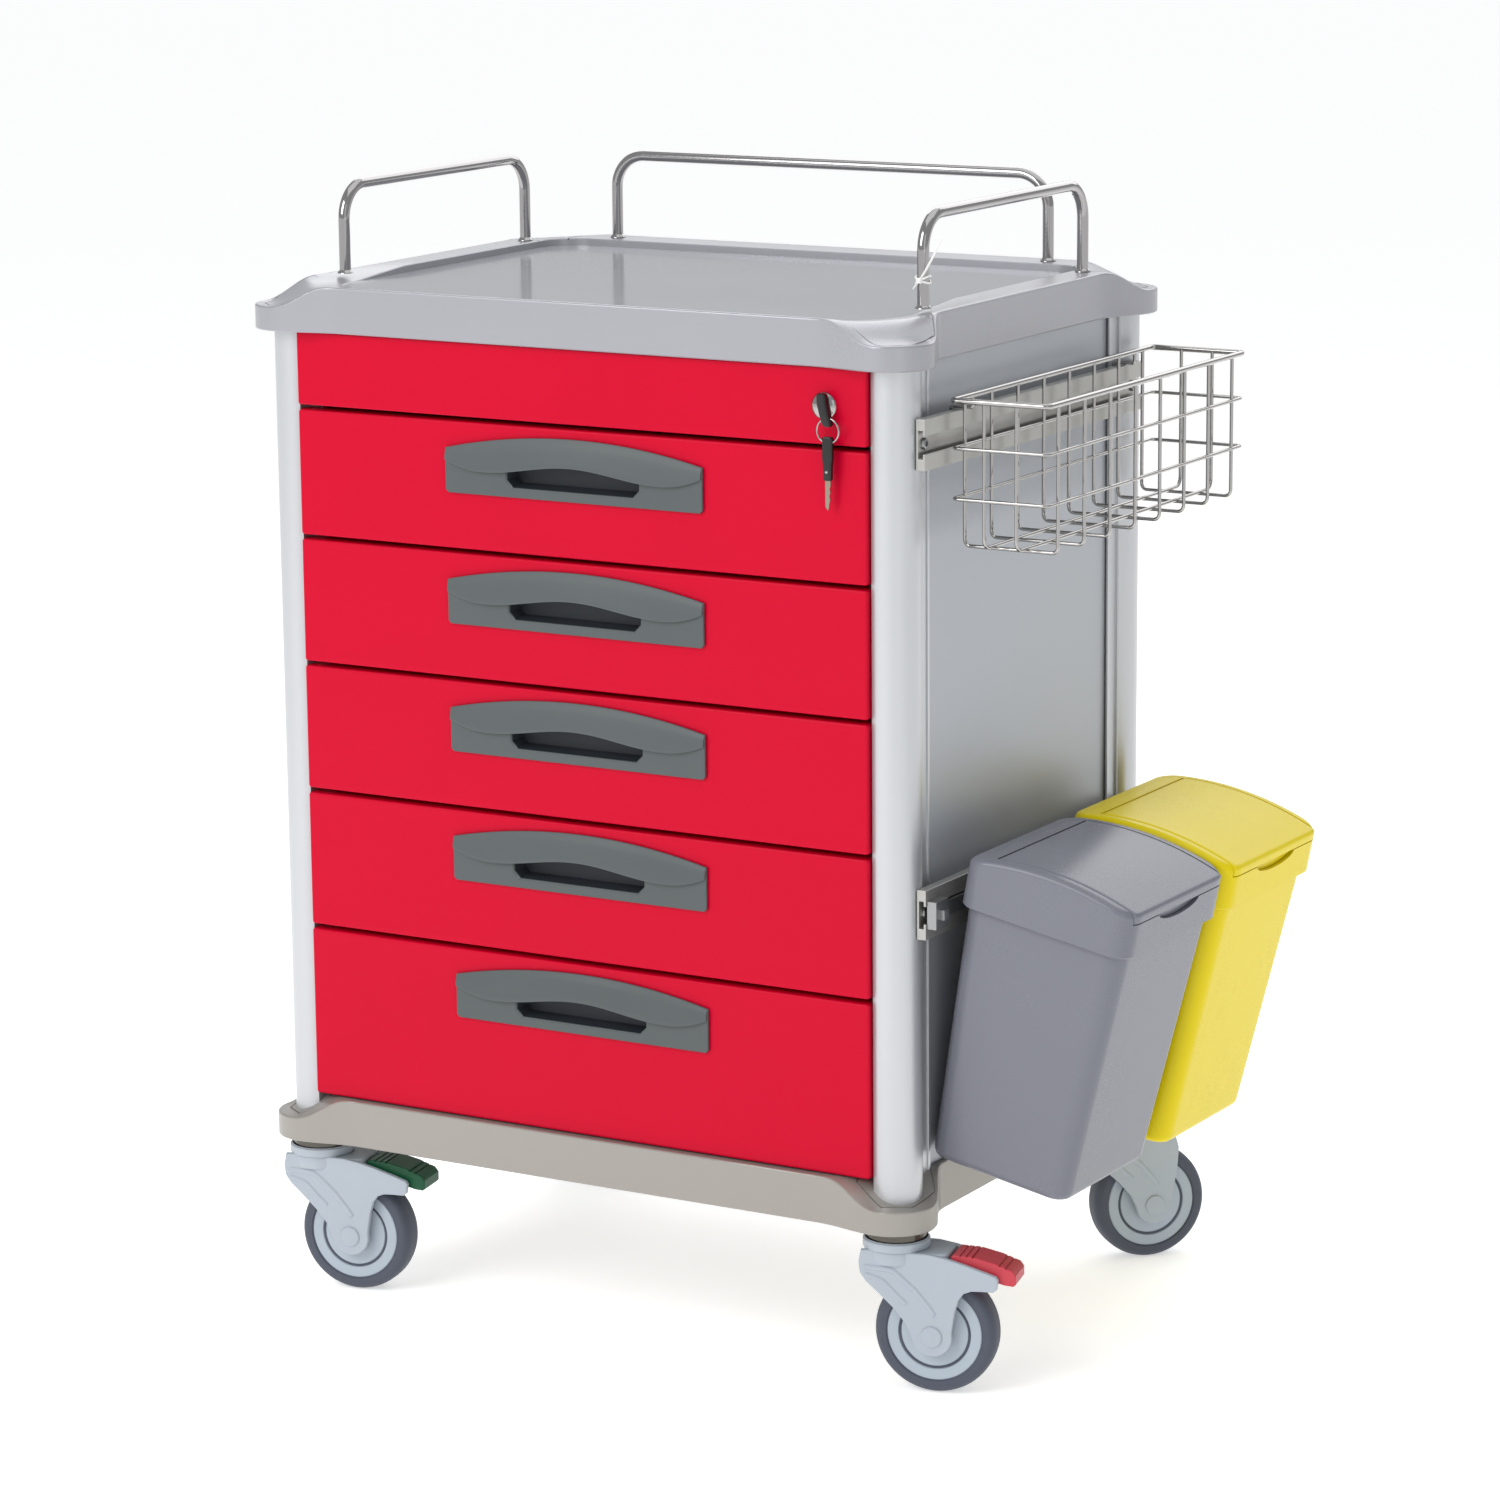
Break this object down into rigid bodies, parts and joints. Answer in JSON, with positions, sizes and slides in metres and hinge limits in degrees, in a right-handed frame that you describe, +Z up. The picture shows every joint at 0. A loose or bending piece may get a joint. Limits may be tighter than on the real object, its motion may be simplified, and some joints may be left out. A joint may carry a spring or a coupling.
{
  "type": "crash cart",
  "caption": "Hospital crash cart: red-fronted drawer cabinet between round aluminium columns, grey trays, guard rails, casters, wire basket and two tilted waste bins.",
  "frame": {"origin": "centre of the underside of the whole object's box, on the floor", "axes": "+Z up, front with the drawers towards -Y, basket and bins on the +X side"},
  "size_m": [0.788, 0.4874, 0.9359],
  "materials": {
    "tray_plastic": "satin silver grey",
    "base_plastic": "satin warm grey",
    "column_aluminium": "anodised satin",
    "panel_grey": "blue grey powder coat",
    "zinc_steel": "zinc plated",
    "stainless": "polished stainless",
    "red_front": "semi gloss red",
    "chrome": "bright",
    "black_plastic": "moulded",
    "rail_aluminium": "anodised",
    "box_plastic": "moulded light grey",
    "handle_plastic": "moulded grey",
    "bin_grey": "moulded grey",
    "bin_yellow": "moulded yellow",
    "caster_plastic": "moulded grey",
    "tyre": "grey tread",
    "pedal_green": "moulded green",
    "pedal_red": "moulded red"
  },
  "bodies": {
    "cabinet": {"top_tray": "tray_plastic", "base_tray": "base_plastic", "column_front_left": "column_aluminium", "column_front_right": "column_aluminium", "column_rear_left": "column_aluminium", "column_rear_right": "column_aluminium", "side_panel_left": "panel_grey", "runner_rack_left": "zinc_steel", "guard_rail_left": "stainless", "side_panel_right": "panel_grey", "runner_rack_right": "zinc_steel", "guard_rail_right": "stainless", "guard_rail_rear": "stainless", "back_panel": "panel_grey", "lock_panel": "red_front", "lock_body": "chrome", "accessory_rail_upper": "rail_aluminium", "accessory_rail_lower": "rail_aluminium", "bin_hanger": "zinc_steel", "caster_stem_front_left": "zinc_steel", "caster_stem_front_right": "zinc_steel", "caster_stem_rear_left": "zinc_steel", "caster_stem_rear_right": "zinc_steel"},
    "key": {"key_in_lock": "black_plastic"},
    "spare_key": {"spare_key": "black_plastic"},
    "lock_bar": {"lock_bar": "zinc_steel"},
    "basket": {"basket": "chrome"},
    "drawer_1": {"drawer_1_front": "red_front", "drawer_1_box": "box_plastic", "drawer_1_handle": "handle_plastic"},
    "drawer_2": {"drawer_2_front": "red_front", "drawer_2_box": "box_plastic", "drawer_2_handle": "handle_plastic"},
    "drawer_3": {"drawer_3_front": "red_front", "drawer_3_box": "box_plastic", "drawer_3_handle": "handle_plastic"},
    "drawer_4": {"drawer_4_front": "red_front", "drawer_4_box": "box_plastic", "drawer_4_handle": "handle_plastic"},
    "drawer_5": {"drawer_5_front": "red_front", "drawer_5_box": "box_plastic", "drawer_5_handle": "handle_plastic"},
    "grey_bin": {"grey_bin_bucket": "bin_grey", "grey_bin_lid_frame": "bin_grey"},
    "grey_bin_lid": {"grey_bin_lid_flap": "bin_grey"},
    "yellow_bin": {"yellow_bin_bucket": "bin_yellow", "yellow_bin_lid_frame": "bin_yellow"},
    "yellow_bin_lid": {"yellow_bin_lid_flap": "bin_yellow"},
    "caster_front_left": {"fork_front_left": "caster_plastic"},
    "wheel_front_left": {"wheel_front_left": "tyre"},
    "pedal_front_left": {"brake_pedal_front_left": "pedal_green"},
    "caster_front_right": {"fork_front_right": "caster_plastic"},
    "wheel_front_right": {"wheel_front_right": "tyre"},
    "pedal_front_right": {"brake_pedal_front_right": "pedal_red"},
    "caster_rear_left": {"fork_rear_left": "caster_plastic"},
    "wheel_rear_left": {"wheel_rear_left": "tyre"},
    "caster_rear_right": {"fork_rear_right": "caster_plastic"},
    "wheel_rear_right": {"wheel_rear_right": "tyre"}
  },
  "joints": [
    {"name": "drawer_1_slide", "type": "slide", "parent": "cabinet", "child": "drawer_1", "axis": [0, -1, 0], "range_m": [0, 0.34]},
    {"name": "drawer_2_slide", "type": "slide", "parent": "cabinet", "child": "drawer_2", "axis": [0, -1, 0], "range_m": [0, 0.34]},
    {"name": "drawer_3_slide", "type": "slide", "parent": "cabinet", "child": "drawer_3", "axis": [0, -1, 0], "range_m": [0, 0.34]},
    {"name": "drawer_4_slide", "type": "slide", "parent": "cabinet", "child": "drawer_4", "axis": [0, -1, 0], "range_m": [0, 0.34]},
    {"name": "drawer_5_slide", "type": "slide", "parent": "cabinet", "child": "drawer_5", "axis": [0, -1, 0], "range_m": [0, 0.34]},
    {"name": "lock_key_turn", "type": "hinge", "parent": "cabinet", "child": "key", "pos_m": [0.14704, -0.22874, 0.79], "axis": [0, 1, 0], "range_deg": [0, 90]},
    {"name": "spare_key_hang", "type": "hinge", "parent": "key", "child": "spare_key", "pos_m": [0.15504, -0.23724, 0.78], "axis": [0, 1, 0], "range_deg": [-90, 0]},
    {"name": "lock_bar_lift", "type": "slide", "parent": "cabinet", "child": "lock_bar", "axis": [0, 0, 1], "range_m": [0, 0.01]},
    {"name": "basket_lift_off", "type": "slide", "parent": "cabinet", "child": "basket", "axis": [0, 0, 1], "range_m": [0, 0.024]},
    {"name": "grey_bin_lift_off", "type": "slide", "parent": "cabinet", "child": "grey_bin", "axis": [0, 0, 1], "range_m": [0, 0.06]},
    {"name": "grey_bin_lid_hinge", "type": "hinge", "parent": "grey_bin", "child": "grey_bin_lid", "pos_m": [0.27208, -0.10174, 0.4361], "axis": [0, -1, 0], "range_deg": [0, 75]},
    {"name": "yellow_bin_lift_off", "type": "slide", "parent": "cabinet", "child": "yellow_bin", "axis": [0, 0, 1], "range_m": [0, 0.06]},
    {"name": "yellow_bin_lid_hinge", "type": "hinge", "parent": "yellow_bin", "child": "yellow_bin_lid", "pos_m": [0.27208, 0.08026, 0.4361], "axis": [0, -1, 0], "range_deg": [0, 75]},
    {"name": "caster_front_left_swivel", "type": "hinge", "parent": "cabinet", "child": "caster_front_left", "pos_m": [-0.35996, -0.20574, 0.11], "axis": [0, 0, 1], "continuous": true},
    {"name": "wheel_front_left_roll", "type": "hinge", "parent": "caster_front_left", "child": "wheel_front_left", "pos_m": [-0.32648, -0.19983, 0.05], "axis": [-0.1736, 0.9848, 0], "continuous": true},
    {"name": "pedal_front_left_press", "type": "hinge", "parent": "caster_front_left", "child": "pedal_front_left", "pos_m": [-0.31269, -0.1974, 0.109], "axis": [-0.1736, 0.9848, 0], "range_deg": [0, 8]},
    {"name": "caster_front_right_swivel", "type": "hinge", "parent": "cabinet", "child": "caster_front_right", "pos_m": [0.19604, -0.20574, 0.11], "axis": [0, 0, 1], "continuous": true},
    {"name": "wheel_front_right_roll", "type": "hinge", "parent": "caster_front_right", "child": "wheel_front_right", "pos_m": [0.22903, -0.19751, 0.05], "axis": [-0.2419, 0.9703, 0], "continuous": true},
    {"name": "pedal_front_right_press", "type": "hinge", "parent": "caster_front_right", "child": "pedal_front_right", "pos_m": [0.24261, -0.19412, 0.109], "axis": [-0.2419, 0.9703, 0], "range_deg": [0, 8]},
    {"name": "caster_rear_left_swivel", "type": "hinge", "parent": "cabinet", "child": "caster_rear_left", "pos_m": [-0.35996, 0.17626, 0.11], "axis": [0, 0, 1], "continuous": true},
    {"name": "wheel_rear_left_roll", "type": "hinge", "parent": "caster_rear_left", "child": "wheel_rear_left", "pos_m": [-0.32994, 0.19223, 0.05], "axis": [-0.4695, 0.8829, 0], "continuous": true},
    {"name": "caster_rear_right_swivel", "type": "hinge", "parent": "cabinet", "child": "caster_rear_right", "pos_m": [0.19604, 0.17626, 0.11], "axis": [0, 0, 1], "continuous": true},
    {"name": "wheel_rear_right_roll", "type": "hinge", "parent": "caster_rear_right", "child": "wheel_rear_right", "pos_m": [0.21923, 0.20113, 0.05], "axis": [-0.7314, 0.682, 0], "continuous": true}
  ]
}
